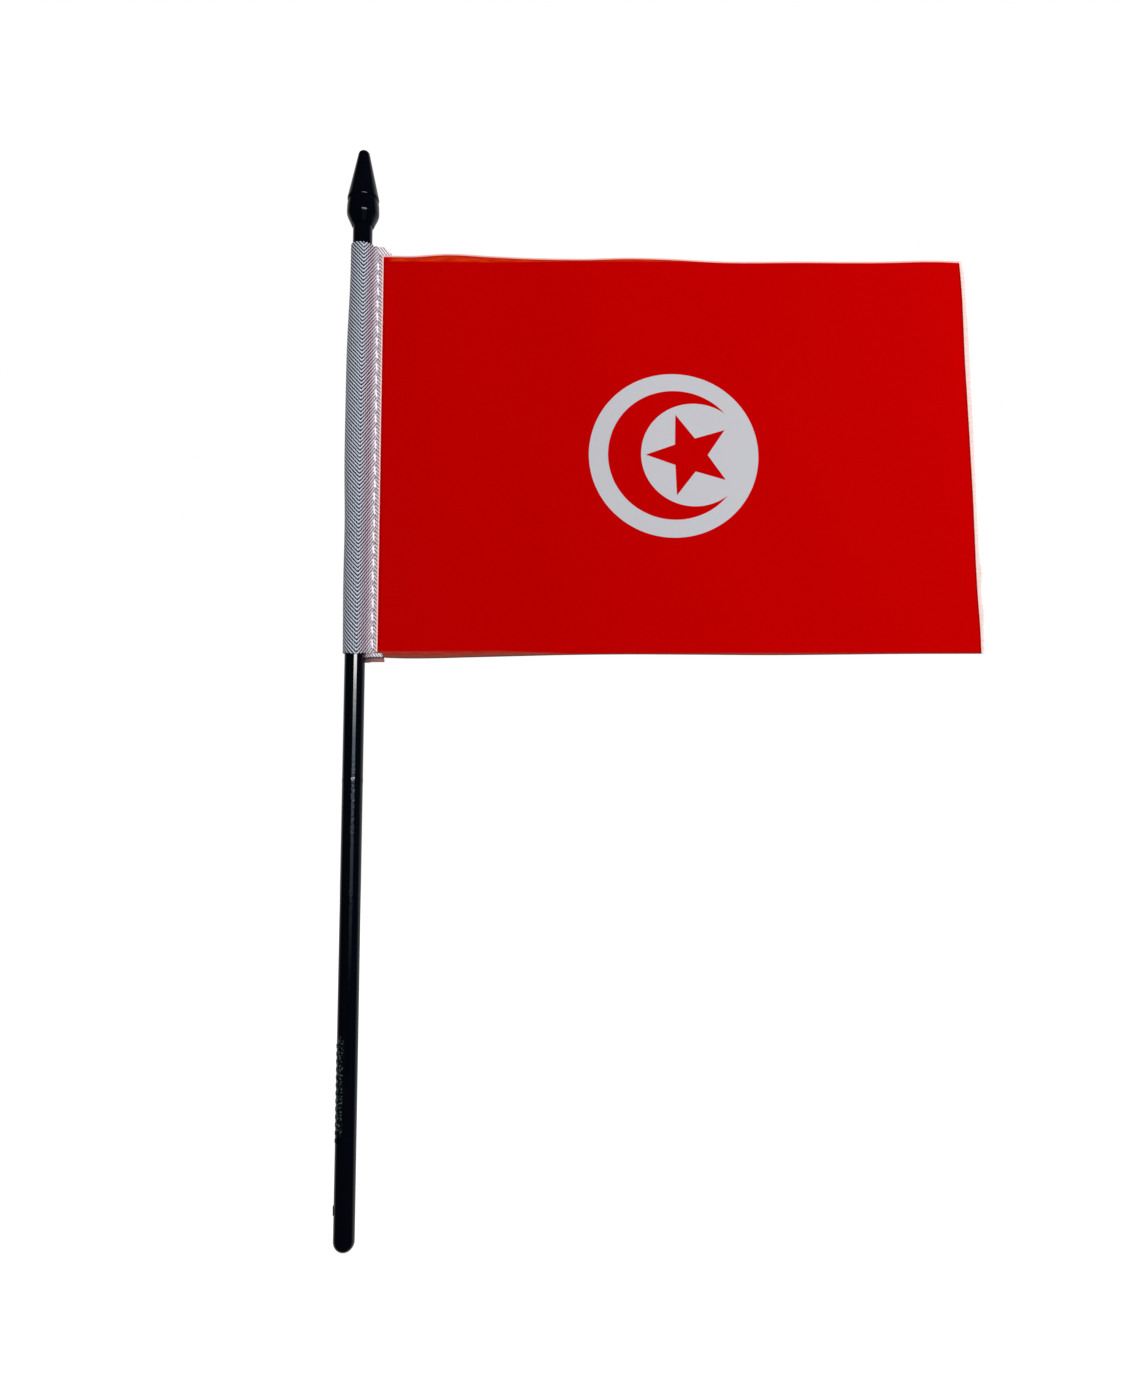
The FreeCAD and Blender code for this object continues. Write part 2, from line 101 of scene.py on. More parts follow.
# cloth and its print, worked out from the ink nodes
CLOTH_YARN = 0.34                       # pitch of the cloth's own fine weave
FOLD_LENGTH = 45                        # length of cloth that takes up the fold past the band
DISC_RADIUS = 21.5
CRESCENT_RADIUS = (crescent_high.z - crescent_low.z) / 2
CRESCENT_X = crescent_low.x + CRESCENT_RADIUS
EMBLEM_Z = (crescent_high.z + crescent_low.z) / 2
CRESCENT_CUT_RADIUS = 13.5
CRESCENT_CUT_X = CRESCENT_X + 4.95
STAR_RADIUS = (star_high.x - star_low.x) / (1 + math.cos(math.radians(36)))
STAR_X = star_low.x + STAR_RADIUS
STAR_WAIST = 0.41 * STAR_RADIUS         # reach of the star's inner corners
DISC_X = CRESCENT_X - 0.28
SOFT_EDGE = 0.06                        # half the width over which an ink edge fades

# window that the pole reflects, in metres
WINDOW_AWAY = 0.62
WINDOW_BEARING = math.radians(-72)
WINDOW_MIDDLE = 0.09
WINDOW_TOP = 0.228


def smooth(low, high, value):
    """0 before low, 1 past high, and a smooth step between; low may be the larger of the two."""
    share = np.clip((value - low) / (high - low), 0, 1)
    return share * share * (3 - 2 * share)


def hill(centre, width, value, power=2):
    """A smooth hill, 1 at its centre."""
    return np.exp(-np.abs((value - centre) / width) ** power)


def curve(stops, value):
    """A smooth curve through (place, level) stops, level past its ends."""
    places, levels = np.array(stops, dtype=float).T
    slopes = np.gradient(levels, places)
    index = np.clip(np.searchsorted(places, value) - 1, 0, len(places) - 2)
    width = places[index + 1] - places[index]
    share = np.clip((value - places[index]) / width, 0, 1)
    bend = share * share * (3 - 2 * share)
    level = levels[index] * (1 - bend) + levels[index + 1] * bend
    leave = slopes[index] * width * share * (1 - share) ** 2
    arrive = slopes[index + 1] * width * share ** 2 * (1 - share)
    return level + leave - arrive


# ---------------------------------------------------------------- meshes

def link(name, data):
    """A new object of the scene that shows the given data."""
    new = bpy.data.objects.new(name, data)
    bpy.context.scene.collection.objects.link(new)
    return new


def mesh_object(name, points, faces, material, attributes):
    """A smooth-shaded object from points in millimetres; attributes maps a name to one vector per point."""
    mesh = bpy.data.meshes.new(name)
    mesh.from_pydata((points * MM).tolist(), [], faces)
    for attribute_name, vectors in attributes.items():
        attribute = mesh.attributes.new(attribute_name, "FLOAT_VECTOR", "POINT")
        attribute.data.foreach_set("vector", np.asarray(vectors, dtype=np.float32).ravel())
    work = bmesh.new()
    work.from_mesh(mesh)
    bmesh.ops.recalc_face_normals(work, faces=work.faces)
    work.to_mesh(mesh)
    work.free()
    mesh.polygons.foreach_set("use_smooth", [True] * len(mesh.polygons))
    mesh.materials.append(material)
    return link(name, mesh)


def grid_faces(columns, rows, start=0):
    """Quads of a grid whose points run up each column in turn."""
    corner = start + (np.arange(columns - 1)[:, None] * rows + np.arange(rows - 1)).ravel()
    return np.stack([corner, corner + rows, corner + rows + 1, corner + 1], axis=1).tolist()


def rim_of(columns, rows, start=0):
    """Point numbers round the edge of a grid, in order, ending on the first one again."""
    bottom = [column * rows for column in range(columns)]
    last_column = [(columns - 1) * rows + row for row in range(1, rows)]
    top = [column * rows + rows - 1 for column in range(columns - 2, -1, -1)]
    first_column = list(range(rows - 2, -1, -1))
    return [start + number for number in bottom + last_column + top + first_column]


def sheet_faces(columns, rows, coarse=1):
    """A closed sheet: a fine grid, a second grid with each coarse-th line only, and a rim joining the two."""
    back_columns = (columns - 1) // coarse + 1
    back_rows = (rows - 1) // coarse + 1
    back_start = columns * rows
    faces = grid_faces(columns, rows) + grid_faces(back_columns, back_rows, back_start)
    front_rim = rim_of(columns, rows)
    back_rim = rim_of(back_columns, back_rows, back_start)
    for step in range(len(back_rim) - 1):
        run = front_rim[step * coarse:(step + 1) * coarse + 1]
        faces.append(run + [back_rim[step + 1], back_rim[step]])
    return faces


def sheet_vectors(front, back, coarse=1):
    """One vector per point of a closed sheet: all of its front grid, then each coarse-th line of its back."""
    return np.concatenate([front.reshape(-1, 3), back[::coarse, ::coarse].reshape(-1, 3)])


# ---------------------------------------------------------------- sleeve band

def band_slack(height):
    """How far the loose band stands off the pole on its left, by height."""
    up = height - BAND_BOTTOM
    return -0.06 + 0.62 * hill(64.5, 27, up, 4) + 0.27 * hill(19.5, 16, up)


def arc(centre_x, centre_y, radius, start, finish, count):
    """Points of an arc, without its last one."""
    angles = start + (finish - start) * np.arange(count) / count
    return np.stack([centre_x + radius * np.cos(angles), centre_y + radius * np.sin(angles)], axis=1)


def straight(start, finish, count):
    """Points of a straight run, without its last one."""
    share = (np.arange(count) / count)[:, None]
    return np.array(start) * (1 - share) + np.array(finish) * share


def band_section(height, back_lip):
    """Middle line of the band from its front lip, round the pole, to its back lip: (x, y) points."""
    slack = band_slack(height)
    radius = BORE_RADIUS + BAND_THICK / 2 + slack / 2
    centre_x = -slack / 2
    cosine, sine = math.cos(LEAVE), math.sin(LEAVE)
    rise = MIDDLE + BEND
    free = ((radius + BEND) * sine - rise) / cosine
    bend_x = centre_x + (radius + BEND) * cosine + free * sine
    leave_x, leave_y = centre_x + radius * cosine, radius * sine
    join_x, join_y = bend_x - BEND * cosine, rise - BEND * sine
    quarter = math.pi / 2
    return np.concatenate([
        straight((FRONT_LIP, -MIDDLE), (bend_x, -MIDDLE), 20),
        arc(bend_x, -rise, BEND, quarter, 2 * quarter - LEAVE, 12),
        straight((join_x, -join_y), (leave_x, -leave_y), 20),
        arc(centre_x, 0, radius, -LEAVE, LEAVE - 4 * quarter, 90),
        straight((leave_x, leave_y), (join_x, join_y), 20),
        arc(bend_x, rise, BEND, LEAVE - 2 * quarter, -quarter, 12),
        straight((bend_x, MIDDLE), (back_lip, MIDDLE), 30),
        [(back_lip, MIDDLE)],
    ])


def band_row(share, columns, front_columns):
    """x, y and place across the band of one row of points, a given share of the way up.

    The place is 0 in front of the pole, more towards the front lip and less round the pole to the back lip.
    """
    height = BAND_BOTTOM + (BAND_TOP - BAND_BOTTOM) * share
    section = band_section(height, BACK_LIP + 0.1 + 0.35 * share ** 3)
    length = np.concatenate([[0], np.cumsum(np.hypot(*np.diff(section, axis=0).T))])
    first = np.argmax(section[:, 0] < 0)
    before, after = section[first - 1:first + 1, 0]
    middle = length[first - 1] + (length[first] - length[first - 1]) * before / (before - after)
    stops = np.concatenate([
        np.linspace(0, middle, front_columns)[:-1],
        np.linspace(middle, length[-1], columns - front_columns + 1),
    ])
    return np.stack([
        np.interp(stops, length, section[:, 0]),
        np.interp(stops, length, section[:, 1]),
        middle - stops,
    ])


def rib_rise(along):
    """How far a rib has risen at a place across the band; it turns back, rounded, at each zone edge."""
    turn = (along - TURN_AT) / (2 * ZONE)
    folded = (turn - np.round(turn)) * (2 * ZONE)
    return RIB_SLOPE * np.sqrt(folded ** 2 + RIB_TURN ** 2) + RIB_SKEW * along


def band_ends(x, y):
    """Bottom and top height of the cut ends of the band where it passes (x, y)."""
    left = smooth(0.5, -3, x)
    front_bottom = 1.05 + 0.5 * left + 0.35 * smooth(0.5, 2.6, x) + 0.4 * smooth(3.5, FRONT_LIP, x)
    back_bottom = 1.55 - 0.9 * smooth(-3, 0, x) - 1.2 * smooth(0, 2.6, x)
    front_top = 0.3 * left - 0.55 - 1.45 * smooth(2.6, 4.3, x) - 0.95 * smooth(3.9, 5.7, x)
    back_top = 0.4 * smooth(-3, 3.2, x) - 0.05 - 0.75 * smooth(3.2, 4.4, x) - 1.9 * smooth(5.5, 7.7, x)
    behind = smooth(-0.25, 0.25, y)
    bottom = BAND_BOTTOM + front_bottom + (back_bottom - front_bottom) * behind
    top = BAND_TOP + front_top + (back_top - front_top) * behind
    return bottom, top


def band_zones(x, y, z):
    """Shares, 0 to 1, of four places on the band.

    They are the stretch by the thread, the front lip, the tail of the back layer that hangs below the front
    one, and the ends where the back layer has nothing in front of it.
    """
    # on the back layer the bright stretch starts 1.2 mm nearer the pole: painted light over the shaded inside
    # of that layer
    thread_side = smooth(2.7, 3.9, x + 1.2 * (y > 0))
    lip = smooth(FRONT_LIP - 0.5, FRONT_LIP - 0.1, x) * (y < 0)
    tail = smooth(BAND_BOTTOM + 0.4, BAND_BOTTOM + 0.15, z) * (y > 0)
    ends = smooth(BAND_BOTTOM + 2.2, BAND_BOTTOM + 1.4, z) + smooth(BAND_TOP - 3.4, BAND_TOP - 2.4, z)
    one_layer = ends * smooth(2.2, 2.8, x) * (y > 0)
    return thread_side, lip, tail, one_layer


def make_sleeve_band(material):
    """The folded band, with woven ribs in relief, a groove pulled in by the stitches, and uneven cut ends."""
    columns, rows, coarse = 281, 641, 4
    front_columns = 81
    rise = np.linspace(0, 1, rows)
    x, y, along = np.stack([band_row(share, columns, front_columns) for share in rise], axis=2)
    run_x, run_y = np.gradient(x, axis=0), np.gradient(y, axis=0)
    size = np.hypot(run_x, run_y)
    out_x, out_y = -run_y / size, run_x / size
    bottom, top = band_ends(x, y)
    z = bottom + (top - bottom) * rise

    ribs = np.sin(2 * np.pi * (z - rib_rise(along)) / RIB_PITCH)
    holes = 0.5 + 0.5 * np.cos(2 * np.pi * (z - thread_low.z) / STITCH_PITCH)
    groove = hill(SEAM_X, 0.4, x) * (0.03 + 0.09 * holes)
    # the sewn layers ripple a little, and the tail curls backwards
    ripple = 0.04 * np.sin(z / 2.3 + 2 * np.sin(z / 7)) * smooth(2.5, 5, x)
    curl = 0.5 * smooth(BAND_BOTTOM + 0.8, BAND_BOTTOM - 0.6, z) * smooth(1, 3, x) * (y > 0)
    middle_y = y + curl + ripple
    face = BAND_THICK / 2 + RIB_RELIEF * ribs - groove
    back = BAND_THICK / 2 - 0.01
    outer = np.stack([x + out_x * face, middle_y + out_y * face, z], axis=2)
    inner = np.stack([x - out_x * back, middle_y - out_y * back, z], axis=2)

    thread_side, lip, tail, one_layer = band_zones(x, y, z)
    weave = np.stack([along, z, one_layer], axis=2)
    shade = np.stack([thread_side, lip, tail], axis=2)
    attributes = {
        "weave": sheet_vectors(weave, weave, coarse),
        "shade": sheet_vectors(shade, shade, coarse),
    }
    points = sheet_vectors(outer, inner, coarse)
    piece = mesh_object("sleeve_band", points, sheet_faces(columns, rows, coarse), material, attributes)
    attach(piece, "hoist")
    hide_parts("hoist_sleeve")


# ---------------------------------------------------------------- cloth

def cloth_edges(x):
    """Bottom and top height of the cloth at x: wider than the print near the hoist, and cut unevenly."""
    above = curve([
        (6, 1.3), (12, 1.28), (22.5, 2.02), (34, 1.45), (46, 0.75), (56, 0.5), (70, 0.83),
        (78, 0.68), (94, 0.02), (111, -0.25), (138, -0.57), (148, -0.45), (157, -0.65),
    ], x)
    below = curve([
        (7.3, 0.85), (12, 1.01), (18, 1.02), (28, 0.8), (40, 0.57), (54, 0.36), (67, 0.31),
        (83, 0.4), (101, 0.57), (120, 0.41), (144, 0.26), (157, 0.23),
    ], x)
    bottom = field_low.z - below + 1.25 * smooth(7.15, 6.9, x)
    top = field_high.z + above + 0.19 + 0.06 * smooth(13, 9, x)
    return bottom, top


def fly_edge(height):
    """x of the cloth's free edge by height."""
    up = height - field_low.z
    edge = cloth_high.x - 0.1 - 0.25 * smooth(82.25, 94.25, up) - 0.7 * smooth(98.75, 103.75, up)
    edge += 0.12 * hill(58.25, 12, up) + 0.5 * hill(20.25, 3, up) + 0.2 * hill(9.75, 2.5, up)
    return edge + 0.3 * smooth(18.25, 10.25, up) - 0.35 * smooth(1.25, -0.25, up)


def print_insides(x, z):
    """Distance inside the printed field from its top, bottom and fly edges; less than 0 on a margin."""
    up = z - field_low.z
    from_bottom = up - 0.85 * smooth(56, 34, x)
    fly = curve([
        (-0.75, 0.3), (7.25, 0.25), (13.25, 0.05), (44.25, -0.05),
        (60.25, -0.2), (75.25, -0.43), (98.25, -0.5), (103.25, -0.75),
    ], up)
    return field_high.z - z, from_bottom, field_high.x + fly - x


def cloth_wave(x, z):
    """How far the cloth stands off its flat plane."""
    loose = smooth(BACK_LIP + 1, BACK_LIP + FOLD_LENGTH, x)
    up = (z - field_low.z) / (field_high.z - field_low.z)
    roll = 0.55 * np.sin(x / 15.5 + 0.6 + 0.8 * up) * (0.3 + 0.7 * up)
    sway = 0.9 * np.sin(x / 38 - 1.1 * up + 2.4)
    fine = 0.12 * np.sin(x / 6.1 + 2 * np.sin(z / 31)) * np.sin(z / 17 + x / 40)
    return loose * (roll + sway + fine)


def make_cloth_panel(material):
    """One printed cloth: hidden edge in the band, gentle waves towards the free edge."""
    columns, rows = 301, 193
    across = np.linspace(0, 1, columns)[:, None]
    rise = np.linspace(0, 1, rows)[None, :]
    # height of each row before the uneven cut, near enough to find its free edge
    level = field_low.z - 0.15 + (field_high.z - field_low.z + 0.4) * rise
    x = cloth_low.x + (fly_edge(level) - cloth_low.x) * across
    bottom, top = cloth_edges(x)
    z = bottom + (top - bottom) * rise
    wave = cloth_wave(x, z)
    half = CLOTH_HALF * 0.98
    front = np.stack([x, wave - half, z], axis=2)
    back = np.stack([x, wave + half, z], axis=2)
    nothing = np.zeros_like(x)
    flat = np.stack([x, z, nothing], axis=2)
    cut = np.stack([top - z, z - bottom, nothing], axis=2)
    inside = np.stack(print_insides(x, z), axis=2)
    attributes = {
        "flat": sheet_vectors(flat, flat),
        "cut": sheet_vectors(cut, cut),
        "inside": sheet_vectors(inside, inside),
    }
    points = sheet_vectors(front, back)
    piece = mesh_object("cloth_panel", points, sheet_faces(columns, rows), material, attributes)
    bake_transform(piece)
    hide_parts("flag_cloth", *[name for name in NODES if "_print_" in name])


# ---------------------------------------------------------------- stitches

def stitch_line(steps, side):
    """Middle line of a thread that lies on the band and dips into each needle hole, and its lift, 0 to 1."""
    place = np.arange(STITCH_COUNT * steps + 1) / steps
    share = place % 1
    lift = smooth(0.08, 0.3, share) * smooth(0.92, 0.72, share)
    in_hole = 0.2
    on_face = CLOTH_HALF + BAND_THICK + 0.14
    depth = in_hole + (on_face - in_hole) * lift
    lean = lift * (0.06 * np.sin(place * 2.1) - 0.3 * (share - 0.5))
    line = np.stack([SEAM_X + 0.1 + lean, side * depth, thread_low.z + place * STITCH_PITCH], axis=1)
    return line, lift


def tube_faces(rings, around):
    """Faces of a closed tube whose points run round each ring in turn."""
    ring = np.arange(around)
    following = (ring + 1) % around
    faces = []
    for start in range(0, (rings - 1) * around, around):
        quads = [start + ring, start + following, start + around + following, start + around + ring]
        faces += np.stack(quads, axis=1).tolist()
    faces.append(ring.tolist())
    faces.append((rings * around - 1 - ring).tolist())
    return faces


def make_stitches(name, side, node, material):
    """Stitches of twisted thread, on the front of the band (side -1) or on its back (side 1)."""
    steps, around = 40, 14
    line, lift = stitch_line(steps, side)
    run = np.gradient(line, axis=0)
    step_length = np.linalg.norm(run, axis=1)
    travelled = np.cumsum(step_length)
    run /= step_length[:, None]
    sideways = np.cross(run, [0, 1, 0.001])
    sideways /= np.linalg.norm(sideways, axis=1)[:, None]
    outward = np.cross(run, sideways)
    angle = 2 * np.pi * np.arange(around) / around
    ply = 1 + 0.16 * np.cos(PLY_COUNT * angle - PLY_TWIST * travelled[:, None])
    reach = (THREAD_RADIUS * ply)[:, :, None]
    cosine, sine = np.cos(angle)[None, :, None], np.sin(angle)[None, :, None]
    points = line[:, None, :] + reach * (sideways[:, None, :] * cosine + outward[:, None, :] * sine)
    twist = np.stack(np.broadcast_arrays(angle[None, :], travelled[:, None], lift[:, None]), axis=2)
    faces = tube_faces(len(line), around)
    piece = mesh_object(name, points.reshape(-1, 3), faces, material, {"twist": twist.reshape(-1, 3)})
    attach(piece, "hoist")
    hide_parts(node)


# ---------------------------------------------------------------- shader nodes

class Value:
    """A number worked out by shader nodes, which adds, subtracts, multiplies and divides like a plain one."""

    def __init__(self, nodes, socket):
        self.nodes = nodes
        self.socket = socket

    def __add__(self, other):
        return self.nodes.math("ADD", self, other)

    def __sub__(self, other):
        return self.nodes.math("SUBTRACT", self, other)

    def __rsub__(self, other):
        return self.nodes.math("SUBTRACT", other, self)

    def __mul__(self, other):
        return self.nodes.math("MULTIPLY", self, other)

    def __truediv__(self, other):
        return self.nodes.math("DIVIDE", self, other)


class Nodes:
    """Short ways to add and join the nodes of a material or a world."""

    def __init__(self, owner):
        owner.use_nodes = True
        self.tree = owner.node_tree
        self.tree.nodes.clear()

    def plug(self, socket, value):
        """Set an input to a Value, another node's output, or a plain number or colour."""
        if isinstance(value, Value):
            value = value.socket
        if isinstance(value, bpy.types.NodeSocket):
            self.tree.links.new(value, socket)
        else:
            socket.default_value = value

    def add(self, kind, inputs, **settings):
        """A new node; inputs maps the number or name of an input to what goes in."""
        node = self.tree.nodes.new("ShaderNode" + kind)
        for name, setting in settings.items():
            setattr(node, name, setting)
        for name, value in inputs.items():
            self.plug(node.inputs[name], value)
        return node

    def math(self, operation, *values):
        """The result of one math operation on plain or worked-out numbers."""
        node = self.add("Math", dict(enumerate(values)), operation=operation)
        return Value(self, node.outputs[0])

    def length(self, x, y):
        """Length of the line from (0, 0) to (x, y)."""
        return self.math("SQRT", x * x + y * y)

    def split(self, vector):
        """x, y and z of a vector."""
        node = self.add("SeparateXYZ", {0: vector})
        return [Value(self, output) for output in node.outputs]

    def attribute(self, name):
        """x, y and z of a vector stored in the mesh."""
        return self.split(self.add("Attribute", {}, attribute_name=name).outputs["Vector"])

    def vector(self, x, y, z):
        """A vector of three values."""
        return self.add("CombineXYZ", {0: x, 1: y, 2: z}).outputs[0]

    def position(self):
        """The place in the object, in metres."""
        return self.add("TexCoord", {}).outputs["Object"]

    def ray(self, kind):
        """1 for a ray of the given kind, such as "Camera" or "Glossy", and 0 for any other."""
        return Value(self, self.add("LightPath", {}).outputs["Is " + kind + " Ray"])

    def noise(self, vector, scale, detail):
        """Smooth noise, from 0 to 1."""
        node = self.add("TexNoise", {"Vector": vector, "Scale": scale, "Detail": detail})
        return Value(self, node.outputs["Fac"])

    def ramp(self, value, low, high, start=0.0, end=1.0, interpolation="LINEAR"):
        """value mapped from low..high to start..end, held at the ends."""
        inputs = {"Value": value, "From Min": low, "From Max": high, "To Min": start, "To Max": end}
        node = self.add("MapRange", inputs, interpolation_type=interpolation)
        return Value(self, node.outputs["Result"])

    def between(self, value, low, high, edge):
        """1 from low to high and 0 outside, fading over edge at each end."""
        return self.ramp(value, low - edge, low) * self.ramp(value, high + edge, high)

    def wave(self, value, pitch):
        """A sine of value with the given pitch, from -1 to 1."""
        return self.math("SINE", value * (2 * math.pi / pitch))

    def mix(self, share, first, second):
        """A colour from first, at a share of 0, to second, at 1."""
        inputs = {"Factor": share, "A": first, "B": second}
        return self.add("Mix", inputs, data_type="RGBA").outputs["Result"]

    def bump(self, height, distance, strength):
        """A surface direction that follows small bumps of the given height."""
        inputs = {"Height": height, "Distance": distance, "Strength": strength}
        return self.add("Bump", inputs).outputs[0]

    def show(self, shader, kind="Material"):
        """Make a shader the look of the material or world."""
        self.add("Output" + kind, {"Surface": shader.outputs[0]})

    def show_surface(self, **values):
        """Make one general surface the look of the material; its inputs are named with _ for each space."""
        inputs = {name.replace("_", " "): value for name, value in values.items()}
        self.show(self.add("BsdfPrincipled", inputs))


def grey(value, tint=(1, 1, 1)):
    """A grey colour, with a tint on each of its parts."""
    return (value * tint[0], value * tint[1], value * tint[2], 1)


# ---------------------------------------------------------------- materials

def plastic_material():
    """Glossy black moulded plastic with faint flow marks, two scuffed rings, and painted highlight specks on
    the raised marks.
    """
    material = bpy.data.materials.new("glossy_black_plastic")
    nodes = Nodes(material)
    place = nodes.position()
    x, y, z = nodes.split(place)
    flow = nodes.noise(place, 90, 4)
    specks = nodes.noise(place, 2000, 2)

    bearing = nodes.math("ARCTAN2", y * -1.0, x * -1.0)
    facing = nodes.between(bearing, math.radians(14), math.radians(74), math.radians(6))
    marked = facing * nodes.between(z, 0.027, 0.048, 0.001)
    by_bead = nodes.between(z, 0.097, 0.110, 0.006)
    under_bead = nodes.between(z, 0.080, 0.082, 0.003)
    scuffed = nodes.math("MAXIMUM", by_bead, under_bead)
    # painted highlight: light specks on the raised marks stand in for the glints they catch
    painted_mark_glints = marked * nodes.ramp(specks, 0.53, 0.60)
    clean = nodes.mix(flow, (0.0006, 0.0014, 0.0040, 1), (0.0018, 0.0030, 0.0070, 1))
    dents = scuffed * nodes.noise(place, 1300, 2) * 0.6
    relief = nodes.noise(place, 240, 3) * 0.15 + specks * marked + dents
    nodes.show_surface(
        Base_Color=nodes.mix(painted_mark_glints, clean, (0.110, 0.140, 0.145, 1)),
        Roughness=nodes.ramp(flow, 0.3, 0.7, 0.05, 0.08),
        IOR=1.5,
        Normal=nodes.bump(relief, 0.00012, 0.7),
    )
    return material


def band_yarn(nodes, along, height):
    """0 in the gaps of the herringbone weave and 1 on top of its yarns."""
    place = nodes.vector(along, height, 0.0)
    wander = (nodes.noise(place, 0.5, 2) - 0.5) * 0.2
    turn = (along - TURN_AT) / (2 * ZONE)
    folded = (turn - nodes.math("ROUND", turn)) * (2 * ZONE)
    rise = nodes.math("SQRT", folded * folded + RIB_TURN ** 2) * RIB_SLOPE + along * RIB_SKEW
    rib = nodes.wave(height - rise + wander, RIB_PITCH)
    fuzz = nodes.noise(place, 3.0, 3) - 0.5
    yarn = nodes.ramp(rib, -0.6, 0.6, interpolation="SMOOTHSTEP")
    return nodes.ramp(yarn + nodes.wave(along, YARN) * 0.12 + fuzz * 0.9, 0.0, 1.0)


def band_material():
    """White herringbone band: bright yarns with dark gaps, darkest where the black pole shows through.

    Light that comes through its front lip and its single layers is stood in for by a faint glow.
    """
    material = bpy.data.materials.new("woven_band")
    nodes = Nodes(material)
    along, height, one_layer = nodes.attribute("weave")
    thread_side, lip, tail = nodes.attribute("shade")
    yarn = band_yarn(nodes, along, height)

    over_pole = nodes.mix(yarn, (0.008, 0.012, 0.034, 1), (0.80, 0.86, 0.98, 1))
    over_edge = nodes.mix(yarn, (0.28, 0.28, 0.28, 1), (0.76, 0.76, 0.73, 1))
    # partly the red cloth showing through the weave, partly a painted reflection of the red cloth, right of
    # the pole's middle
    red_reflection_and_showthrough = nodes.mix(yarn, (0.060, 0.010, 0.035, 1), (0.70, 0.63, 0.74, 1))
    by_thread = nodes.mix(yarn, (0.30, 0.215, 0.285, 1), (0.97, 0.91, 0.96, 1))
    pink = (1.0, 0.62, 0.60, 1)
    colour = nodes.mix(nodes.ramp(along, -1.9, -3.6, 0.0, 0.75), over_pole, over_edge)
    colour = nodes.mix(nodes.ramp(along, 1.4, 2.3), colour, red_reflection_and_showthrough)
    colour = nodes.mix(thread_side, colour, by_thread)
    # painted reflection: the front lip is painted pink, the red cloth's light on its edge
    colour = nodes.mix(lip * 0.85, colour, pink)

    # painted shade: the curled tail is painted dark, redder towards the back lip as a painted reflection of
    # the red cloth, with a painted shadow line along its crease
    red_reflection_share = nodes.ramp(along, -12.5, -15.4)
    tail_painted_shade = nodes.mix(red_reflection_share, (0.16, 0.09, 0.09, 1), (0.32, 0.09, 0.08, 1))
    crease_shadow_line = tail * (1.0 - tail)
    colour = nodes.mix(tail * 0.9, colour, tail_painted_shade)
    colour = nodes.mix(crease_shadow_line * 3.6, colour, (0.02, 0.012, 0.014, 1))
    nodes.show_surface(
        Base_Color=colour,
        Roughness=nodes.ramp(yarn, 0, 1, 0.95, 0.8),
        Specular_IOR_Level=0.04,
        Emission_Color=nodes.mix(lip, colour, pink),
        Emission_Strength=lip * 0.3 + one_layer * 0.36,
        Normal=nodes.bump(yarn, 0.00006, 0.8),
    )
    return material


def circle_cover(nodes, x, z, centre_x, centre_z, radius):
    """1 inside a circle and 0 outside, with a short soft edge."""
    distance = nodes.length(x - centre_x, z - centre_z)
    return nodes.ramp(distance, radius + SOFT_EDGE, radius - SOFT_EDGE)


def star_cover(nodes, x, z):
    """1 inside the five-pointed star: the angle is folded into one point, which is then one straight edge."""
    across = STAR_X - x
    up = z - EMBLEM_Z
    angle = nodes.math("ARCTAN2", up, across)
    sector = 2 * math.pi / 5
    turns = nodes.math("ROUND", angle / sector)
    folded = nodes.math("ABSOLUTE", angle - turns * sector)
    reach = nodes.length(across, up)
    tip = Vector((STAR_RADIUS, 0))
    waist = Vector((math.cos(sector / 2), math.sin(sector / 2))) * STAR_WAIST
    edge = (waist - tip).normalized()
    outward = Vector((edge.y, -edge.x))
    along = reach * nodes.math("COSINE", folded)
    beside = reach * nodes.math("SINE", folded)
    limit = outward.dot(tip)
    return nodes.ramp(along * outward.x + beside * outward.y, limit + SOFT_EDGE, limit - SOFT_EDGE)


def ink_cover(nodes, x, z):
    """1 where the cloth is printed red: the field round the disc, and the crescent and star on the disc."""
    disc = circle_cover(nodes, x, z, DISC_X, EMBLEM_Z - 0.05, DISC_RADIUS)
    outer = circle_cover(nodes, x, z, CRESCENT_X, EMBLEM_Z, CRESCENT_RADIUS)
    cut = circle_cover(nodes, x, z, CRESCENT_CUT_X, EMBLEM_Z + 0.05, CRESCENT_CUT_RADIUS)
    crescent = outer * (1.0 - cut)
    emblem = nodes.math("MAXIMUM", crescent, star_cover(nodes, x, z))
    return nodes.math("MAXIMUM", 1.0 - disc, emblem)


